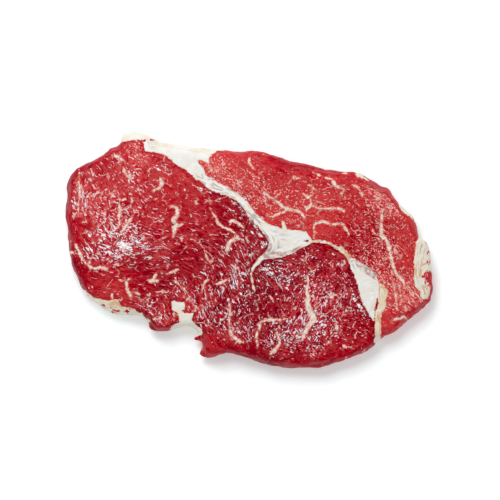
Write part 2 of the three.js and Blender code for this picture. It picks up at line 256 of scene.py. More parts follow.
# How bright the red is: x and y in pixels, and the tone, where 0 is the deepest crimson and 1 the brightest
# red. A tone beyond them outweighs its neighbours.
TONES = {
    "eye": [
        (80, 195, 0.74), (110, 165, 0.76), (115, 200, 0.5), (150, 160, 0.66), (145, 195, 0.55),
        (160, 225, 0.6), (185, 190, 0.72), (190, 215, 0.6), (225, 210, 0.27), (250, 240, 0.18),
        (190, 245, 0.4), (130, 245, 0.3), (80, 250, 0.42), (95, 280, 0.38), (130, 270, 0.15),
        (165, 275, 0.28), (200, 265, 0.25), (114, 288, 0.9), (120, 297, 1.2), (180, 315, 1.0),
        (150, 300, -0.15), (210, 290, 0.25), (235, 290, 0.25), (212, 320, -0.15), (215, 345, 0.1),
        (75, 225, 0.8), (240, 255, 0.3), (64, 180, 0.25), (64, 215, 0.25), (66, 255, 0.3), (76, 156, 0.35),
        (92, 146, 0.45), (72, 280, 0.35), (216, 352, 0.95),
    ],
    "cap": [
        (240, 160, 0.85), (270, 165, 0.6), (310, 172, 0.45), (350, 180, 0.65), (230, 175, 1.0),
        (260, 200, 0.78), (300, 200, 1.0), (340, 200, 1.1), (365, 225, 0.3), (385, 195, 0.75),
        (330, 230, 0.78), (300, 222, 0.92), (370, 252, 0.35), (400, 235, 0.9), (402, 265, 0.85),
        (395, 300, 0.85), (395, 328, 0.85), (412, 305, 0.68),
    ],
    "lower": [
        (320, 248, 0.35), (280, 275, 0.05), (330, 275, 0.35), (300, 300, 0.4), (345, 290, 0.15),
        (270, 335, 0.05), (310, 340, -0.05), (300, 366, 0.8), (350, 320, 0.35), (350, 345, 0.4),
        (345, 364, 0.85), (240, 335, 0.0), (230, 352, 0.85),
    ],
}
TONE_REACH = 12

# How dense the pale flecks of marbling are, which are painted white as glints where juice lies: x and y in
# pixels, and the amount, where 0 is none and 1 is crowded. An amount beyond 1 outweighs its neighbours.
FLECKS = [
    # Eye muscle
    (78, 200, 0.8), (95, 180, 0.45), (100, 205, 0.65), (130, 160, 0.66), (112, 168, 0.3), (150, 165, 0.4),
    (140, 200, 0.5), (165, 195, 0.2), (190, 195, 0.3), (185, 215, 0.25), (215, 200, 0.25), (240, 215, 0.15),
    (255, 240, 0.65), (264, 234, 0.1), (150, 225, 0.45), (195, 230, 0.5), (75, 235, 0.05), (82, 275, 0.0),
    (105, 240, 0.6), (125, 246, 1.05), (145, 245, 0.6), (95, 255, 0.55), (130, 265, 0.1), (160, 262, 0.5),
    (185, 262, 0.2), (205, 270, 0.4), (105, 285, 0.3), (140, 285, 0.1), (150, 308, 0.6), (175, 290, 0.4),
    (200, 300, 0.65), (215, 300, 0.5), (238, 290, 0.82), (245, 310, 0.4), (222, 325, 0.7), (215, 346, 0.05),
    (245, 355, 0.05),
    # Cap muscle
    (240, 160, 0.1), (270, 163, 0.08), (310, 172, 0.1), (350, 182, 0.2), (225, 172, 0.5), (245, 182, 0.4),
    (262, 195, 0.45), (285, 190, 0.2), (300, 200, 0.3), (275, 210, 0.15), (335, 195, 0.3), (340, 215, 0.1),
    (365, 205, 0.2), (385, 195, 1.5), (365, 228, 0.28), (375, 245, 0.3), (330, 232, 0.1), (400, 230, 0.25),
    (398, 260, 0.05), (405, 295, 0.8), (395, 328, 0.05), (385, 260, 0.62), (370, 268, 0.4), (392, 300, 0.3),
    # Lower muscle
    (270, 272, 0.5), (290, 270, 0.45), (320, 262, 0.35), (335, 275, 0.55), (350, 285, 0.35),
    (290, 290, 0.5), (310, 300, 0.7), (330, 305, 0.65), (350, 315, 0.4), (270, 300, 0.3), (255, 300, 0.25),
    (290, 325, 0.64), (285, 345, 0.48), (310, 345, 0.64), (330, 335, 0.5), (350, 340, 0.3), (268, 335, 0.5),
    (240, 330, 0.6), (300, 362, 0.1), (340, 357, 0.05), (365, 345, 0.3),
]
FLECK_REACH = 6.5

# Where juice stands on the meat: x, y and reach in pixels, and the amount. It makes the film glossy, and
# there the flecks are painted white and glints are painted in pale colour as highlights.
WET_AND_PAINTED_GLINT_SPOTS = [
    (126, 248, 8, 1.0), (104, 243, 15, 0.65), (134, 246, 13, 0.7), (92, 254, 10, 0.6), (77, 203, 7, 0.6),
    (166, 169, 8, 0.8), (127, 174, 6, 0.6), (150, 200, 12, 0.25), (215, 193, 12, 0.5), (236, 208, 10, 0.7),
    (248, 219, 8, 0.8), (258, 232, 7, 0.9), (263, 245, 6, 1.0), (232, 246, 8, 0.6), (190, 196, 10, 0.3),
    (270, 274, 13, 0.95), (284, 284, 12, 0.7), (298, 274, 10, 0.5), (320, 262, 9, 0.5), (235, 282, 8, 0.6),
    (245, 300, 12, 0.6), (355, 300, 6, 1.0), (362, 310, 5, 0.9), (288, 344, 16, 0.5), (312, 335, 14, 0.6),
    (330, 318, 10, 0.5), (152, 309, 9, 0.6), (175, 287, 7, 0.5), (221, 322, 7, 0.6), (200, 265, 10, 0.3),
]

# The broadest glints of juice, painted highlights in near-white colour: half their width in pixels, and
# their line.
PAINTED_GLINTS = [
    (0.8, [(196, 187), (202, 190)]), (0.8, [(206, 190), (211, 193)]), (0.8, [(218, 191), (224, 194)]),
    (0.9, [(231, 200), (236, 204)]), (0.9, [(239, 207), (244, 212)]), (1.0, [(247, 214), (251, 220)]),
    (0.9, [(252, 222), (256, 228)]), (1.0, [(257, 231), (261, 237)]),
    (1.5, [(261, 240), (263, 244), (261, 249)]), (0.8, [(236, 214), (241, 219)]),
    (0.8, [(221, 246), (229, 250)]), (2.0, [(352, 294), (354, 300)]), (1.6, [(356, 303), (361, 309)]),
    (1.1, [(362, 311), (366, 317)]), (1.0, [(268, 271), (274, 275)]), (1.3, [(263, 268), (267, 270)]),
    (0.9, [(277, 267), (283, 269)]), (2.3, [(118, 243), (125, 245), (133, 251)]),
    (1.2, [(104, 235), (106, 240)]), (1.0, [(90, 233), (92, 237)]), (0.9, [(137, 240), (144, 247)]),
    (0.9, [(109, 252), (118, 256)]), (1.0, [(161, 165), (168, 170)]), (0.8, [(127, 170), (131, 175)]),
    (0.9, [(116, 156), (121, 158)]), (0.9, [(76, 201), (79, 207)]),
]

# Thin membrane over the fat, as loops of photograph pixels.
MEMBRANES = [
    [(352, 260), (357, 260), (363, 263.5), (370, 268.5), (375.5, 274), (378, 281), (372, 278),
     (366, 274.5), (360, 270), (356, 266)],
    [(263, 257), (268, 253), (277, 252), (286, 251), (294, 248), (302, 245), (296, 250),
     (286, 254.5), (276, 257), (268, 258)],
    [(262, 236), (266, 234), (270, 240), (271, 247), (266, 254), (262, 256), (266, 248), (266, 241)],
]

# Where shreds of lean cling to the fat: x, y and reach in pixels, and the amount.
STAINS = [
    # Right rim
    (428, 282, 5, 1.0), (424, 275, 3, 0.9), (422, 267, 3, 0.6), (428, 262, 3, 0.85), (427, 252, 3, 0.8),
    (420, 292, 4, 0.7), (425, 242, 3, 0.6),
    # Lower left rim, the web and the top corner
    (102, 308, 4, 1.0), (115, 313, 5, 1.0), (127, 313, 4, 0.9), (88, 296, 4, 0.6), (140, 318, 5, 0.5),
    (182, 310, 5, 0.6), (175, 326, 5, 0.4), (145, 140, 4, 0.7), (152, 139.5, 3, 0.8),
]

# Where tan and grey threads run along in the fat: x, y and reach in pixels, and the amount.
THREADS = [
    (203, 180, 7, 0.9), (215, 188, 8, 1.0), (228, 195, 8, 1.0), (240, 202, 8, 1.0), (250, 212, 8, 1.0),
    (258, 222, 8, 1.0), (266, 234, 8, 1.0), (270, 248, 8, 0.9), (284, 236, 6, 0.5), (300, 252, 6, 0.6),
    (325, 243, 8, 1.0), (338, 248, 8, 1.0), (348, 258, 8, 1.0), (420, 232, 8, 0.8), (421, 250, 9, 0.9),
    (421, 270, 9, 0.9), (423, 290, 6, 0.7), (379, 315, 9, 0.8), (379, 332, 8, 0.8), (382, 292, 7, 0.9),
    (152, 142, 5, 0.8), (130, 134, 8, 0.45), (405, 212, 6, 0.8), (100, 302, 9, 0.9), (117, 306, 8, 0.8),
    (134, 314, 8, 0.8), (180, 325, 7, 0.4),
]

# Noise in the beef: the space that it lies in, the size of its lumps in millimetres, and its detail.
# Grain, loose and looser run along the fibres, across them and down, and the last two wander. Edges starts
# with the depth in the fat.
BEEF_NOISES = {
    "patches": ("grain", (7, 6, 7), 2),
    "slow": ("loose", (3.6, 2.4, 3), 3),
    "dashes": ("loose", (4.6, 0.8, 2.5), 1),
    "bent": ("loose", (5.8, 1.8, 3), 1.2),
    "breaks": ("loose", (2.3, 1.9, 2), 1),
    "crumbs": ("loose", (1.2, 0.75, 2), 1),
    # Specks of painted glints.
    "painted_glint_specks": ("loose", (4.5, 1.3, 3), 1),
    "fray": ("loose", (1.2, 0.9, 1.2), 3),
    "fibres": ("loose", (2.4, 0.8, 1.5), 2),
    "stripes": ("loose", (6, 0.65, 2.5), 1),
    "swell": ("place", (4, 4, 4), 1),
    "clumps": ("place", (2.2, 2.2, 2.2), 3),
    "lumps": ("place", (6, 6, 6), 4),
    "shreds": ("place", (2.5, 2.5, 2.5), 2),
    "strands": ("edges", (1.0, 8, 8), 2),
    "skin": ("place", (11, 11, 2.4), 3),
}

# Cells in the beef: the space that they lie in, and their size. Bundles of fibre are about 3.4 mm long and
# 1.1 mm across where the knife has slanted through them, and fine veins run between the larger cells.
BEEF_CELLS = {
    "bundle": ("loose", (3.4, 1.1, 2.2)),
    "fine_vein": ("looser", (13, 8, 12)),
}

# Levels: what each reads, the range that it reads, and the range that it gives where that isn't 0 to 1.
# Each passes from one end to the other in a smooth step.
BEEF_LEVELS = {
    "in_cap": ("cap", -0.5, 0.5),
    "in_lower": ("lower", -2.0, 4.0),
    "along_fat": ("fat", -2.2, -0.7),
    # Flecks, veins and painted glints
    "patch": ("patches", 0.32, 0.68, 0.75, 1.3),
    # How far the flecks are painted white as highlights where juice lies.
    "painted_wet_highlight": ("wetness_and_painted_glints", 0.0, 0.5),
    "clump": ("clumps", 0.4, 0.62),
    "swollen": ("swell", 0.3, 0.7, -0.4, 0.3),
    "frayed": ("fray", 0.25, 0.75, -0.5, 0.45),
    "unbroken": ("bundle_edge", 0.03, 0.2),
    "fine_vein_line": ("fine_vein_edge", 0.035, 0.01, 0.0, 0.85),
    "fine_vein_run": ("swell", 0.5, 0.62),
    "fine_vein_share": ("flecks", 0.05, 0.35),
    # Lean
    "slow_shift": ("slow", 0.28, 0.72, -0.34, 0.03),
    "side_shade": ("cut_face", 0.0, 0.8, -0.16, 0.0),
    "side": ("cut_face", 0.6, 0.1),
    "skin_streak": ("skin", 0.5, 0.7, 0.0, 0.45),
    "marbled": ("flecks", 0.1, 0.6),
    "net_line": ("bundle_edge", 0.2, 0.03),
    "net_patch": ("slow", 0.35, 0.65, 0.1, 0.8),
    "net_share": ("flecks", 0.0, 0.4, 0.3, 1.0),
    "stripe": ("stripes", 0.57, 0.64, 0.0, 0.38),
    # Fat
    "ragged": ("clumps", 0.2, 0.8, -0.5, 0.5),
    "creamier": ("lumps", 0.3, 0.7, -0.25, 0.25),
    "outer": ("cut_face", 0.35, 0.0),
    "outer_patch": ("lumps", 0.35, 0.65),
    "thread_line": ("strands", 0.49, 0.57),
    "thread_run": ("threads", 0.15, 0.7, 0.0, 0.9),
    "thread_face": ("cut_face", 0.0, 0.5, 0.3, 1.0),
    "edge_run": ("lumps", 0.4, 0.62, 0.15, 0.85),
    "mottled": ("clumps", 0.38, 0.6),
    "skinned": ("membrane", -0.4, 0.4, 0.0, 0.9),
    # Relief and juice
    "bundle_height": ("bundle_edge", 0.0, 0.35),
    "fat_height": ("clumps", 0.2, 0.8, 1.0, 2.1),
    "strength": ("cut_face", 0.0, 1.0, 0.4, 1.0),
    "film": ("wetness_and_painted_glints", 0.0, 1.0, 0.45, 0.38),
    "juice": ("wetness_and_painted_glints", 0.0, 0.8, 0.08, 0.2),
}


def on_steak(points):
    """Photograph pixels as millimetres from the middle of the steak."""
    return (np.array(points, float) - PHOTO_MIDDLE) * (MM_PER_PIXEL, -MM_PER_PIXEL)


def smooth_line(points, closed=False, parts=3):
    """A curve of short straight stretches through the given points."""
    p = on_steak(points)
    before, after = (p[-1], p[:2]) if closed else (2 * p[0] - p[1], [2 * p[-1] - p[-2]])
    p = np.vstack([before, p, after])
    stretches = []
    for a, b, c, d in zip(p, p[1:], p[2:], p[3:]):
        for t in np.arange(parts) / parts:
            bend = (2 * a - 5 * b + 4 * c - d) * t**2 + (3 * b - a - 3 * c + d) * t**3
            stretches.append(0.5 * (2 * b + (c - a) * t + bend))
    return np.array(stretches + [p[-2]])


def distance_to_line(xy, line):
    """The distance from each point to a line, and how far along the line its nearest place is."""
    nearest = np.full(len(xy), FAR)
    place = np.zeros(len(xy))
    near = np.flatnonzero(np.all((xy > line.min(0) - FAR) & (xy < line.max(0) + FAR), axis=1))
    close, spot, length = nearest[near], place[near], 0.0
    points = xy[near]
    for a, b in zip(line[:-1], line[1:]):
        along = b - a
        size = np.hypot(*along) + 1e-9
        share = np.clip((points - a) @ along / size**2, 0, 1)
        gap = np.hypot(*(points - a - share[:, None] * along).T)
        closer = gap < close
        close[closer] = gap[closer]
        spot[closer] = length + share[closer] * size
        length += size
    nearest[near], place[near] = close, spot
    return nearest, place / length


def depth_inside(xy, loop):
    """How deep each point lies inside a loop, less than nothing outside it."""
    distance, _ = distance_to_line(xy, loop)
    inside = np.zeros(len(xy), bool)
    for (ax, ay), (bx, by) in zip(loop[:-1], loop[1:]):
        if ay != by:
            crosses = (ay > xy[:, 1]) != (by > xy[:, 1])
            inside ^= crosses & (xy[:, 0] < ax + (xy[:, 1] - ay) * (bx - ax) / (by - ay))
    return np.where(inside, distance, -distance)


def spread(xy, spots, reach):
    """A value at each point, blended from the values at the spots nearest to it."""
    spots = np.array(spots, float)
    places = on_steak(spots[:, :2])
    weights = np.zeros(len(xy)) + 1e-12
    total = np.zeros((len(xy), spots.shape[1] - 2))
    for place, values in zip(places, spots[:, 2:]):
        weight = np.exp(-np.sum((xy - place) ** 2, axis=1) / (2 * reach**2)) + 1e-9
        weights += weight
        total += weight[:, None] * values
    return total / weights[:, None]


def lattice_noise(points, seed):
    """Smooth noise from -1 to 1 with features about one unit wide."""
    table = np.random.default_rng(RANDOM_SEED + seed).uniform(-1, 1, 4096)
    low = np.floor(points).astype(np.int64)
    part = points - low
    part = part * part * (3 - 2 * part)
    total = np.zeros(len(points))
    # A scrambled sum of its place picks the value of each corner.
    for corner in np.ndindex(2, 2, 2):
        at = low + corner
        value = table[(at[:, 0] * 73 + at[:, 1] * 179 + at[:, 2] * 283) % 4096]
        total += value * np.prod(np.where(corner, part, 1 - part), axis=1)
    return total


def grain_coordinates(xy):
    """Millimetres along the fibres and across them, for the patterns that follow the grain.
    Both are surfaces whose slope fits the strokes as nearly as it can, all over a wide field."""
    cell, wide, high = 1.0, 320, 240
    columns, rows = (np.arange(wide) - wide / 2) * cell, (np.arange(high) - high / 2) * cell
    gx, gy = np.meshgrid(columns, rows, indexing="ij")
    field = np.column_stack([gx.ravel(), gy.ravel()])
    turns = ((x, y, math.radians(turn)) for x, y, turn in GRAIN_STROKES)
    strokes = [(x, y, math.cos(turn), -math.sin(turn)) for x, y, turn in turns]
    along = spread(field, strokes, STROKE_REACH)
    along /= np.hypot(*along.T)[:, None] + 1e-9
    kx, ky = np.meshgrid(np.fft.fftfreq(wide, cell), np.fft.fftfreq(high, cell), indexing="ij")
    waves = 2j * np.pi * np.stack([kx, ky])
    size = np.abs(waves[0]) ** 2 + np.abs(waves[1]) ** 2
    size[0, 0] = 1
    at = np.clip((xy / cell) + (wide / 2, high / 2), 0, (wide - 2, high - 2))
    low = at.astype(int)
    part = at - low
    found = []
    for slope in (along, np.column_stack([-along[:, 1], along[:, 0]])):
        sx, sy = slope[:, 0].reshape(wide, high), slope[:, 1].reshape(wide, high)
        mean = (sx.mean(), sy.mean())
        bent = np.fft.ifft2(
            -(waves[0] * np.fft.fft2(sx - mean[0]) + waves[1] * np.fft.fft2(sy - mean[1])) / size
        ).real
        surface = bent + mean[0] * gx + mean[1] * gy
        total = np.zeros(len(xy))
        for cx, cy in np.ndindex(2, 2):
            weight = np.abs(1 - cx - part[:, 0]) * np.abs(1 - cy - part[:, 1])
            total += weight * surface[low[:, 0] + cx, low[:, 1] + cy]
        found.append(total)
    return found


def read_points(mesh):
    points = np.empty(len(mesh.vertices) * 3)
    mesh.vertices.foreach_get("co", points)
    return points.reshape(-1, 3) / MM


def read_normals(mesh):
    normals = np.empty(len(mesh.vertices) * 3)
    mesh.vertex_normals.foreach_get("vector", normals)
    return normals.reshape(-1, 3)


def write_points(mesh, points):
    mesh.vertices.foreach_set("co", (points * MM).ravel())
    mesh.update()


def keep_value(mesh, name, values):
    """Stores a number, or three, at each vertex for the materials to read."""
    several = values.ndim > 1
    attribute = mesh.attributes.new(name, "FLOAT_VECTOR" if several else "FLOAT", "POINT")
    attribute.data.foreach_set("vector" if several else "value", values.astype(np.float32).ravel())


def evenly_meshed_steak():
    """A copy of the solid with small even cells everywhere but under the foot."""
    bpy.ops.object.select_all(action="DESELECT")
    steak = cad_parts["steak"].copy()
    steak.data = steak.data.copy()
    steak.name = "beef_steak"
    steak.parent = None
    bpy.context.scene.collection.objects.link(steak)
    steak.select_set(True)
    bpy.context.view_layer.objects.active = steak
    steak.data.materials.clear()
    bpy.ops.object.mode_set(mode="EDIT")
    bpy.ops.mesh.select_all(action="SELECT")
    bpy.ops.mesh.remove_doubles(threshold=0.001 * MM)
    bpy.ops.object.mode_set(mode="OBJECT")
    remesh = steak.modifiers.new("Remesh", "REMESH")
    remesh.mode = "VOXEL"
    remesh.voxel_size = REMESH_CELL * MM
    bpy.ops.object.modifier_apply(modifier=remesh.name)
    for polygon in steak.data.polygons:
        polygon.select = polygon.center.z > FOOT_TOP * MM
    bpy.ops.object.mode_set(mode="EDIT")
    bpy.ops.mesh.subdivide(number_cuts=1)
    bpy.ops.mesh.vertices_smooth(factor=0.5, repeat=SMOOTHING_ROUNDS)
    bpy.ops.object.mode_set(mode="OBJECT")
    return steak


def map_fat(points, down):
    """How deep each point lies in fat, in millimetres, and how cream that fat is."""
    xy = points[:, :2]
    depth = np.full(len(xy), -FAR)
    cream = np.zeros(len(xy))
    wander = SKIN_WANDER * np.clip(down / SKIN_REACH, 0, 1) * lattice_noise(points / SKIN_LUMPS, 21)
    for name, (tint, loop) in FAT_PATCHES.items():
        inside = depth_inside(xy, smooth_line(loop, closed=True))
        if name in THIN_SKINS:
            inside = inside + wander - SKIN_FADE * np.maximum(down - SKIN_REACH, 0)
        cream = np.where(inside > depth, tint, cream)
        depth = np.maximum(depth, inside)
    for half_width, tint, line in FAT_LINES:
        gap, _ = distance_to_line(xy, smooth_line(line))
        inside = half_width * MM_PER_PIXEL - gap
        cream = np.where(inside > depth, tint, cream)
        depth = np.maximum(depth, inside)
    return depth, cream


def map_lines(xy, lines):
    """How deep each point lies in a vein or a painted glint, which thins out towards its ends."""
    depth = np.full(len(xy), -FAR)
    for half_width, line in lines:
        gap, place = distance_to_line(xy, smooth_line(line))
        taper = VEIN_TIP + (1 - VEIN_TIP) * np.sqrt(np.sin(np.pi * np.clip(place, 0.001, 0.999)))
        depth = np.maximum(depth, half_width * MM_PER_PIXEL * taper - gap)
    return depth


def map_tone(xy, cap, lower):
    """How bright the red is at each point, with a soft step from muscle to muscle."""
    eye_tone, cap_tone, lower_tone = (
        spread(xy, TONES[name], TONE_REACH)[:, 0] for name in ("eye", "cap", "lower")
    )
    in_cap = 1 / (1 + np.exp(-cap / MUSCLE_STEP))
    in_lower = 1 / (1 + np.exp(-lower / MUSCLE_STEP))
    tone = eye_tone * (1 - in_lower) + lower_tone * in_lower
    return tone * (1 - in_cap) + cap_tone * in_cap


def map_spots(xy, spots):
    """The strongest of the round spots at each point, each fading with distance."""
    amounts = np.zeros(len(xy))
    for x, y, reach, amount in spots:
        gap = np.sum((xy - on_steak((x, y))) ** 2, axis=1)
        amounts = np.maximum(amounts, amount * np.exp(-gap / (2 * (reach * MM_PER_PIXEL) ** 2)))
    return amounts


def stand_out(points, grain, fat, veins):
    """How far each point stands out from the smooth steak. The foot stays flat."""
    lean = np.clip(-fat / LEAN_STEP, 0, 1)
    bundles = lattice_noise(grain / BUNDLE_LUMPS, 1)
    fibres = lattice_noise(grain / FIBRE_LUMPS, 2)
    lumps = lattice_noise(points / MUSCLE_LUMPS, 3)
    fat_lumps = lattice_noise(points / FAT_LUMPS, 4)
    groove = np.exp(-((fat + GROOVE_OFFSET) / GROOVE_WIDTH) ** 2)
    relief = lean * (BUNDLE_RELIEF * bundles + FIBRE_RELIEF * fibres) + MUSCLE_RELIEF * lumps
    relief += (1 - lean) * FAT_RELIEF * fat_lumps - GROOVE_RELIEF * groove
    relief += VEIN_RELIEF * np.clip(veins + 0.4, 0, 0.8)
    return relief * np.clip((points[:, 2] - FOOT_TOP) / FOOT_FADE, 0, 1)


def left_swell(points):
    """How far the left rim swells out past the solid's."""
    outwards = np.clip((-points[:, 0] - SWELL_START) / SWELL_RISE, 0, 1)
    from_end = SWELL_REACH - np.abs(points[:, 1] - SWELL_MIDDLE)
    return LEFT_SWELL * outwards * np.clip(from_end / SWELL_FADE, 0, 1)


def steak_piece():
    """The even mesh with its relief, and the values at each point that its material reads."""
    steak = evenly_meshed_steak()
    mesh = steak.data
    points = read_points(mesh)
    normals = read_normals(mesh)
    # Below the shoulder the seams stray from where they lie on the cut face.
    down = np.clip(SHOULDER_HEIGHT - points[:, 2], 0, SHOULDER_HEIGHT)
    stray = np.column_stack([lattice_noise(points / SEAM_BENDS, 11), lattice_noise(points / SEAM_BENDS, 12)])
    xy = points[:, :2] + SEAM_STRAY * down[:, None] * stray
    fat, cream = map_fat(np.column_stack([xy, points[:, 2]]), down)
    veins = map_lines(xy, VEINS)
    cap = depth_inside(xy, smooth_line(CAP_MUSCLE, closed=True))
    lower = depth_inside(xy, smooth_line(LOWER_MUSCLE, closed=True))
    along, across = grain_coordinates(xy)
    cut_face = np.clip((np.abs(normals[:, 2]) - SIDE_TILT) / TILT_STEP, 0, 1)
    top = cut_face * (normals[:, 2] > 0)

    grain = np.column_stack([along, across, points[:, 2]])
    points += normals * stand_out(points, grain, fat, veins)[:, None]
    points[:, 2] = np.maximum(points[:, 2], 0)
    points[:, 0] -= left_swell(points)
    write_points(mesh, points)

    values = {
        "grain": np.column_stack([along, across, points[:, 2]]),
        "fat": fat,
        "cream": cream,
        "vein": veins,
        "cap": cap,
        "lower": lower,
        "tone": map_tone(xy, cap, lower),
        "flecks": spread(xy, FLECKS, FLECK_REACH)[:, 0] * cut_face,
        # Wetness for the glossy coat, which also sets where flecks are painted white and glint specks are
        # painted as highlights.
        "wetness_and_painted_glints": map_spots(xy, WET_AND_PAINTED_GLINT_SPOTS) * top,
        # Painted glints: lines of near-white colour that stand in for highlights of juice.
        "painted_glint": np.where(top > 0.5, map_lines(xy, PAINTED_GLINTS), -FAR),
        "stains": map_spots(xy, STAINS) * (1 - 0.9 * down / SHOULDER_HEIGHT),
        "threads": map_spots(xy, THREADS),
        "membrane": np.max([depth_inside(xy, smooth_line(loop, closed=True)) for loop in MEMBRANES], axis=0),
        "cut_face": cut_face,
    }
    for name, value in values.items():
        keep_value(mesh, name, value)
    for polygon in mesh.polygons:
        polygon.use_smooth = True
    mesh.materials.append(raw_beef(name for name in values if name != "grain"))
    return steak


def linear(colour):
    """An sRGB hex colour as the linear numbers that a shader takes."""
    parts = [int(colour[i : i + 2], 16) / 255 for i in (1, 3, 5)]
    return [c / 12.92 if c <= 0.04045 else ((c + 0.055) / 1.055) ** 2.4 for c in parts] + [1.0]


# Settings that many nodes share.
SOFT = {"interpolation_type": "SMOOTHSTEP"}
COLOURS = {"data_type": "RGBA"}
PLUS, MINUS, TIMES, LARGER, TIMES_PLUS = (
    {"operation": name} for name in ("ADD", "SUBTRACT", "MULTIPLY", "MAXIMUM", "MULTIPLY_ADD")
)


def add(tree, kind, inputs=(), **settings):
    """Adds a node. inputs lists what its first sockets get, or says it by their names or numbers: a value, a
    colour in hex, or the output that feeds them.
    A MapRange turns the range from 1 to 2 into that from 3 to 4, or from 0 to 1 where they are left out.
    A Mix goes from 6 to 7 between colours and from 2 to 3 between numbers, by 0."""
    node = tree.nodes.new("ShaderNode" + kind)
    for name, value in settings.items():
        setattr(node, name, value)
    for name, value in inputs.items() if isinstance(inputs, dict) else enumerate(inputs):
        if isinstance(value, bpy.types.NodeSocket):
            tree.links.new(value, node.inputs[name])
        else:
            node.inputs[name].default_value = linear(value) if isinstance(value, str) else value
    return node.outputs


def new_material(name):
    material = bpy.data.materials.new(name)
    material.use_nodes = True
    material.node_tree.nodes.clear()
    return material, material.node_tree


def beef_spaces(tree, fat_depth):
    """The spaces that the patterns lie in, all in millimetres."""
    grain = add(tree, "Attribute", attribute_name="grain")["Vector"]
    place = add(tree, "TexCoord")["Object"]
    place = add(tree, "VectorMath", {0: place, "Scale": 1 / MM}, operation="SCALE")[0]
    sides = add(tree, "SeparateXYZ", [place])
    edges = add(tree, "CombineXYZ", [fat_depth, sides[0], sides[1]])[0]
    # The grain wanders by about a millimetre, so that nothing runs dead straight.
    wide = add(tree, "VectorMath", [grain, (1 / 5, 1 / 4, 1 / 5)], **TIMES)[0]
    wander = add(tree, "TexNoise", {"Vector": wide, "Scale": 1.0, "Detail": 2.0})["Color"]
    centred = add(tree, "VectorMath", [wander, (0.5, 0.5, 0.5)], **MINUS)[0]
    loose = add(tree, "VectorMath", [centred, (3.6, 3.6, 3.6), grain], **TIMES_PLUS)[0]
    looser = add(tree, "VectorMath", [centred, (6, 6, 6), grain], **TIMES_PLUS)[0]
    return {"grain": grain, "loose": loose, "looser": looser, "place": place, "edges": edges}


def beef_patterns(tree, kept_names):
    """All that the beef is drawn from, by name: the values that its mesh keeps, the noises, how far each
    place is from the edge of its cells, a value for each bundle, and the levels."""
    beef = {name: add(tree, "Attribute", attribute_name=name)["Fac"] for name in kept_names}
    spaces = beef_spaces(tree, beef["fat"])
    for name, (space, sizes, detail) in BEEF_NOISES.items():
        scaled = add(tree, "VectorMath", [spaces[space], [1 / size for size in sizes]], **TIMES)[0]
        beef[name] = add(tree, "TexNoise", {"Vector": scaled, "Scale": 1.0, "Detail": detail})[0]
    cells = {}
    for name, (space, sizes) in BEEF_CELLS.items():
        scaled = add(tree, "VectorMath", [spaces[space], [1 / size for size in sizes]], **TIMES)[0]
        cells[name] = {"Vector": scaled, "Scale": 1.0}
        beef[name + "_edge"] = add(tree, "TexVoronoi", cells[name], feature="DISTANCE_TO_EDGE")[0]
    bundle_colour = add(tree, "TexVoronoi", cells["bundle"])["Color"]
    beef["bundle_value"] = add(tree, "SeparateColor", [bundle_colour])[0]
    for name, (source, *ends) in BEEF_LEVELS.items():
        beef[name] = add(tree, "MapRange", [beef[source], *ends], **SOFT)[0]
    return beef


def bare_lean(tree, beef):
    """Outside the cap the lean is bare and dark for 2 mm along the fat."""
    return add(tree, "Math", [beef["along_fat"], beef["in_cap"]], use_clamp=True, **MINUS)[0]


def small_patterns(tree, beef, by_fat):
    """Flecks of fat, drawn 0.6 mm wide so that they show: short dashes with the grain, bent threads between
    them, and crumbs where they crowd, most of all in the cap. Each shows where its noise passes a level,
    which drops as the amount grows. So do the painted glints, highlights of juice drawn as near-white
    specks, and the shreds of lean on the fat."""
    density = add(tree, "Math", [beef["flecks"], beef["patch"]], use_clamp=True, **TIMES)[0]
    bare = add(tree, "Math", [by_fat, -0.8, 1.0], **TIMES_PLUS)[0]
    density = add(tree, "Math", [density, bare], **TIMES)[0]
    finer = add(tree, "Math", [beef["in_lower"], 0.22, density], **TIMES_PLUS)[0]
    finer = add(tree, "Math", [beef["in_cap"], 0.52, finer], **TIMES_PLUS)[0]
    coarser = add(tree, "Math", [beef["in_lower"], -0.12, density], **TIMES_PLUS)[0]
    shown = {}
    for name, amount, low, high, scarce, crowded in (
        ("dashes", coarser, -0.2, 1.0, 0.75, 0.58),
        ("breaks", density, 0.0, 0.9, 0.74, 0.46),
        ("crumbs", finer, 0.35, 1.0, 0.75, 0.58),
        # Painted glints: specks of near-white colour where juice lies, standing in for highlights.
        ("painted_glint_specks", beef["wetness_and_painted_glints"], 0.2, 1.0, 0.78, 0.55),
        ("shreds", beef["stains"], 0.0, 1.0, 0.8, 0.38),
    ):
        level = add(tree, "MapRange", [amount, low, high, scarce, crowded], **SOFT)[0]
        above = add(tree, "Math", [beef[name], level], **MINUS)[0]
        shown[name] = add(tree, "MapRange", [above, 0.0, 0.05], **SOFT)[0]
    off_middle = add(tree, "Math", [beef["bent"], 0.5], **MINUS)[0]
    fold = add(tree, "Math", [off_middle], operation="ABSOLUTE")[0]
    fold_line = add(tree, "MapRange", [fold, 0.034, 0.01], **SOFT)[0]
    bent_threads = add(tree, "Math", [fold_line, shown["breaks"]], **TIMES)[0]
    flecks = add(tree, "Math", [shown["dashes"], bent_threads], **LARGER)[0]
    flecks = add(tree, "Math", [flecks, shown["crumbs"]], **LARGER)[0]
    return flecks, shown["painted_glint_specks"], shown["shreds"]


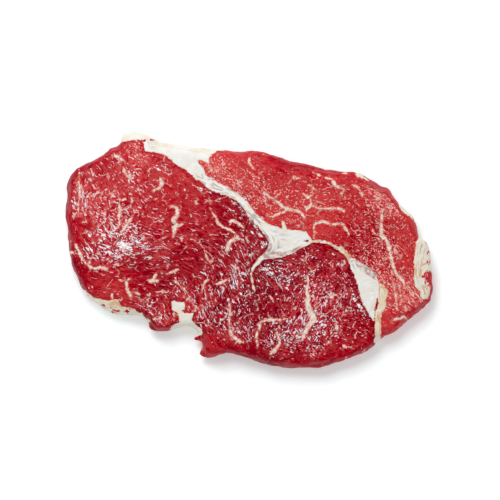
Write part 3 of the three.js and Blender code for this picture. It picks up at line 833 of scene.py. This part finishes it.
def lean_colour(tree, beef, by_fat):
    """Deep crimson in the lower muscle and the heart of the eye, brighter red in the cap. It shifts slowly
    from place to place, from fibre to fibre and from bundle to bundle, and is darker on the sides."""
    fibre_shift = add(tree, "Math", [beef["fibres"], 0.3, -0.1], **TIMES_PLUS)[0]
    shift = add(tree, "Math", [beef["slow_shift"], fibre_shift], **PLUS)[0]
    shift = add(tree, "Math", [beef["bundle_value"], 0.2, shift], **TIMES_PLUS)[0]
    shift = add(tree, "Math", [shift, beef["side_shade"]], **PLUS)[0]
    shift = add(tree, "Math", [by_fat, -0.15, shift], **TIMES_PLUS)[0]
    brightness = add(tree, "Math", [beef["tone"], shift], use_clamp=True, **PLUS)[0]
    lean = add(tree, "ValToRGB", [brightness])[0]
    ramp = tree.nodes[-1].color_ramp
    ramp.elements[0].color = linear("#750117")
    ramp.elements[1].color = linear("#E24546")
    ramp.elements.new(0.45).color = linear("#B10B23")
    return lean


def silverskin(tree, beef):
    """Silverskin clings to the sides in streaks."""
    return add(tree, "Math", [beef["side"], beef["skin_streak"]], **TIMES)[0], "#B4706C"


def bundle_net(tree, beef):
    """Membranes between the bundles: an orange-red lace where there is marbling, dark gaps elsewhere."""
    lace = add(tree, "Mix", {0: beef["tone"], 6: "#AC2A3C", 7: "#E6766C"}, **COLOURS)[2]
    colour = add(tree, "Mix", {0: beef["marbled"], 6: "#64040F", 7: lace}, **COLOURS)[2]
    shown = add(tree, "Math", [beef["net_line"], beef["net_patch"]], **TIMES)[0]
    return add(tree, "Math", [shown, beef["net_share"]], **TIMES)[0], colour


def pale_fibres(tree, beef):
    """Paler fibres run along the grain, drawn 0.3 mm wide."""
    return add(tree, "Math", [beef["stripe"], beef["cut_face"]], **TIMES)[0], "#DE5A55"


def fleck_layer(tree, beef, flecks):
    """Flecks are pinkish where the lean is dark, warmer where it is bright, and painted white where juice
    lies, as highlights.
    """
    fainter = add(tree, "MapRange", {0: beef["in_cap"], 3: 1.0, 4: 0.95})[0]
    share = add(tree, "Math", [flecks, fainter], **TIMES)[0]
    colour = add(tree, "Mix", {0: beef["tone"], 6: "#E9D5DE", 7: "#F0C4BC"}, **COLOURS)[2]
    colour = add(tree, "Mix", {0: beef["in_cap"], 6: colour, 7: "#F0B8AE"}, **COLOURS)[2]
    # Painted highlight: flecks turn near-white where juice lies.
    return share, add(tree, "Mix", {0: beef["painted_wet_highlight"], 6: colour, 7: "#F4F2F8"}, **COLOURS)[2]


def vein_layers(tree, beef, frayed):
    """Veins of fat, and the blush of the lean round them and where they thin out."""
    frayed_vein = add(tree, "Math", [beef["vein"], frayed], **PLUS)[0]
    blush = add(tree, "MapRange", [frayed_vein, -0.8, -0.1, 0.0, 0.8], **SOFT)[0]
    vein = add(tree, "MapRange", [frayed_vein, -0.26, 0.26], **SOFT)[0]
    colour = add(tree, "Mix", {0: beef["clump"], 6: "#F0E6DA", 7: "#E2C0B0"}, **COLOURS)[2]
    return (blush, "#DD7B6C"), (vein, colour)


def painted_glint_layer(tree, beef, frayed, small_painted_glints):
    """Glints of juice painted as near-white colour, painted highlights which break off at the edges of the
    bundles.
    """
    frayed_painted_glint = add(tree, "Math", [beef["painted_glint"], frayed], **PLUS)[0]
    painted_glint = add(tree, "MapRange", [frayed_painted_glint, -0.3, 0.1], **SOFT)[0]
    painted_glint = add(tree, "Math", [painted_glint, small_painted_glints], **LARGER)[0]
    # The near-white colour of the painted glints.
    return add(tree, "Math", [painted_glint, beef["unbroken"]], **TIMES)[0], "#FCFCFD"


def fine_veins(tree, beef):
    """Between the drawn veins run finer ones, 0.4 mm wide, that break off and start again."""
    shown = add(tree, "Math", [beef["fine_vein_run"], beef["fine_vein_share"]], **TIMES)[0]
    return add(tree, "Math", [beef["fine_vein_line"], shown], **TIMES)[0], "#EBCFC2"


def fat_threads(tree, beef, creaminess):
    """Tan and grey threads run along in the fat."""
    shown = add(tree, "Math", [beef["thread_line"], beef["thread_run"]], **TIMES)[0]
    shown = add(tree, "Math", [shown, beef["thread_face"]], **TIMES)[0]
    tanner = add(tree, "MapRange", [creaminess, 0.0, 0.4], **SOFT)[0]
    return shown, add(tree, "Mix", {0: tanner, 6: "#B9AEA4", 7: "#D3A878"}, **COLOURS)[2]


def fat_edge(tree, beef, frayed_fat):
    """Here and there the fat's edge is stained orange by the lean."""
    line = add(tree, "MapRange", [frayed_fat, 0.75, 0.1], **SOFT)[0]
    return add(tree, "Math", [line, beef["edge_run"]], **TIMES)[0], "#DDA98A"


def fat_membrane(tree, beef):
    """Thin membrane lies over some of the fat, mottled grey and pink."""
    return beef["skinned"], add(tree, "Mix", {0: beef["mottled"], 6: "#DDD5CC", 7: "#B08783"}, **COLOURS)[2]


def outer_fat(tree, beef):
    """The fat on the sides, off-white in patches."""
    patched = add(tree, "Mix", {0: beef["outer_patch"], 6: "#E8E3D9", 7: "#E0D4C2"}, **COLOURS)[2]
    return beef["outer"], patched


def fat_colour(tree, beef, frayed_fat, shreds, lean):
    """Firm white fat, cream at the rim, with threads, stains, membrane and shreds of lean on it."""
    creaminess = add(tree, "Math", [beef["cream"], beef["creamier"]], use_clamp=True, **PLUS)[0]
    colour = add(tree, "Mix", {0: creaminess, 6: "#EAE9E4", 7: "#E0D1B6"}, **COLOURS)[2]
    for amount, tint in (
        outer_fat(tree, beef),
        fat_threads(tree, beef, creaminess),
        fat_edge(tree, beef, frayed_fat),
        fat_membrane(tree, beef),
        (shreds, lean),
    ):
        colour = add(tree, "Mix", {0: amount, 6: colour, 7: tint}, **COLOURS)[2]
    return colour


def beef_bump(tree, beef, fat):
    """Bundles stand up a little between their membranes, and fine fibres ripple them."""
    lean_height = add(tree, "Math", [beef["fibres"], 2.2, beef["bundle_height"]], **TIMES_PLUS)[0]
    surface = add(tree, "Mix", {0: fat, 2: lean_height, 3: beef["fat_height"]})[0]
    return add(tree, "Bump", {"Height": surface, "Strength": beef["strength"], "Distance": 0.3 * MM})[0]


def raw_beef(kept_names):
    """Raw beef, cut across the fibres: bundles of red fibre in a lacework of pale membrane, seams and veins
    of firm white fat, and a thin film of juice whose coat gives a few sharp glints, while most glints are
    painted highlights in near-white colour. It reads the values that the mesh keeps under kept_names."""
    material, tree = new_material("raw_beef_with_fat")
    beef = beef_patterns(tree, kept_names)
    by_fat = bare_lean(tree, beef)
    flecks, small_painted_glints, shreds = small_patterns(tree, beef, by_fat)
    lean = lean_colour(tree, beef, by_fat)

    # Veins and painted glints swell and thin along their length, and their edges fray by half a millimetre.
    frayed = add(tree, "Math", [beef["swollen"], beef["frayed"]], **PLUS)[0]
    blush, vein = vein_layers(tree, beef, frayed)
    meat = lean
    for amount, tint in (
        silverskin(tree, beef),
        bundle_net(tree, beef),
        pale_fibres(tree, beef),
        fleck_layer(tree, beef, flecks),
        blush,
        vein,
        painted_glint_layer(tree, beef, frayed, small_painted_glints),
        fine_veins(tree, beef),
    ):
        meat = add(tree, "Mix", {0: amount, 6: meat, 7: tint}, **COLOURS)[2]

    # The fat's edge frays too.
    frayed_fat = add(tree, "Math", [beef["fat"], beef["ragged"]], **PLUS)[0]
    fat = add(tree, "MapRange", [frayed_fat, -0.14, 0.14], **SOFT)[0]
    fat_tint = fat_colour(tree, beef, frayed_fat, shreds, lean)
    bump = beef_bump(tree, beef, fat)

    # Juice lies on the lean in a thin film. Fat is waxy.
    shader = add(tree, "BsdfPrincipled", {
        "Base Color": add(tree, "Mix", {0: fat, 6: meat, 7: fat_tint}, **COLOURS)[2],
        "Roughness": add(tree, "Mix", {0: fat, 2: beef["film"], 3: 0.5})[0],
        "IOR": 1.4,
        "Specular IOR Level": 0.1,
        "Subsurface Weight": 0.08,
        "Subsurface Radius": (1.0, 0.35, 0.25),
        "Subsurface Scale": 0.8 * MM,
        "Coat Weight": beef["juice"],
        "Coat Roughness": 0.08,
        "Coat IOR": 1.6,
        "Normal": bump,
        "Coat Normal": bump,
    })[0]
    add(tree, "OutputMaterial", {"Surface": shader})
    return material


def studio_paper():
    """Matt white paper, which only takes the soft shadow."""
    material, tree = new_material("white_studio_paper")
    shader = add(tree, "BsdfPrincipled", {
        "Base Color": "#F1F9F9",
        "Roughness": 0.9,
        "Specular IOR Level": 0.1,
        "Emission Color": "#FFFFFF",
        "Emission Strength": 0.23,
    })[0]
    add(tree, "OutputMaterial", {"Surface": shader})
    return material


def camera():
    """Straight above the steak, far enough that it shows as flat as in the photograph."""
    distance = PHOTO_WIDTH * MM_PER_PIXEL * LENS / SENSOR + SHARPEST_HEIGHT
    bpy.ops.object.camera_add(location=(0, 0, distance * MM), rotation=(0, 0, 0))
    made = bpy.context.object
    made.data.lens = LENS
    made.data.sensor_width = SENSOR
    bpy.context.scene.camera = made


def lamp(name, turn, rise, distance, size, power):
    """A square softbox that faces the steak, from turn degrees round from +X and rise degrees up."""
    a, e = math.radians(turn), math.radians(rise)
    out = distance * MM * math.cos(e)
    at = (out * math.cos(a), out * math.sin(a), distance * MM * math.sin(e))
    bpy.ops.object.light_add(type="AREA", location=at, rotation=(0, math.radians(90) - e, a))
    made = bpy.context.object
    made.name = name
    made.data.size = size * MM
    made.data.energy = power
    made.visible_camera = False


def studio():
    """A white floor, one softbox, bright walls, and the dark ceiling that level meat mirrors."""
    bpy.ops.mesh.primitive_plane_add(size=FLOOR_SIZE * MM, location=(0, 0, -FLOOR_DROP * MM))
    floor = bpy.context.object
    floor.name = "studio_floor"
    floor.data.materials.append(studio_paper())
    lamp("key_softbox", turn=115, rise=60, distance=1200, size=500, power=8.2)
    world = bpy.data.worlds.new("studio_walls")
    world.use_nodes = True
    tree = world.node_tree
    tree.nodes.clear()
    height = add(tree, "SeparateXYZ", [add(tree, "TexCoord")["Generated"]])[2]
    wall = add(tree, "MapRange", [height, 0.72, 0.92, 0.84, 0.04])[0]
    lit = add(tree, "Background", {"Color": "#F8F8FA", "Strength": wall})[0]
    add(tree, "OutputWorld", {"Surface": lit})
    bpy.context.scene.world = world
    view = bpy.context.scene.view_settings
    view.view_transform = "Standard"
    view.use_curve_mapping = True
    view.curve_mapping.black_level = BLACK_LEVEL


camera()
steak = steak_piece()
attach(steak, "root")
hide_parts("steak")
studio()
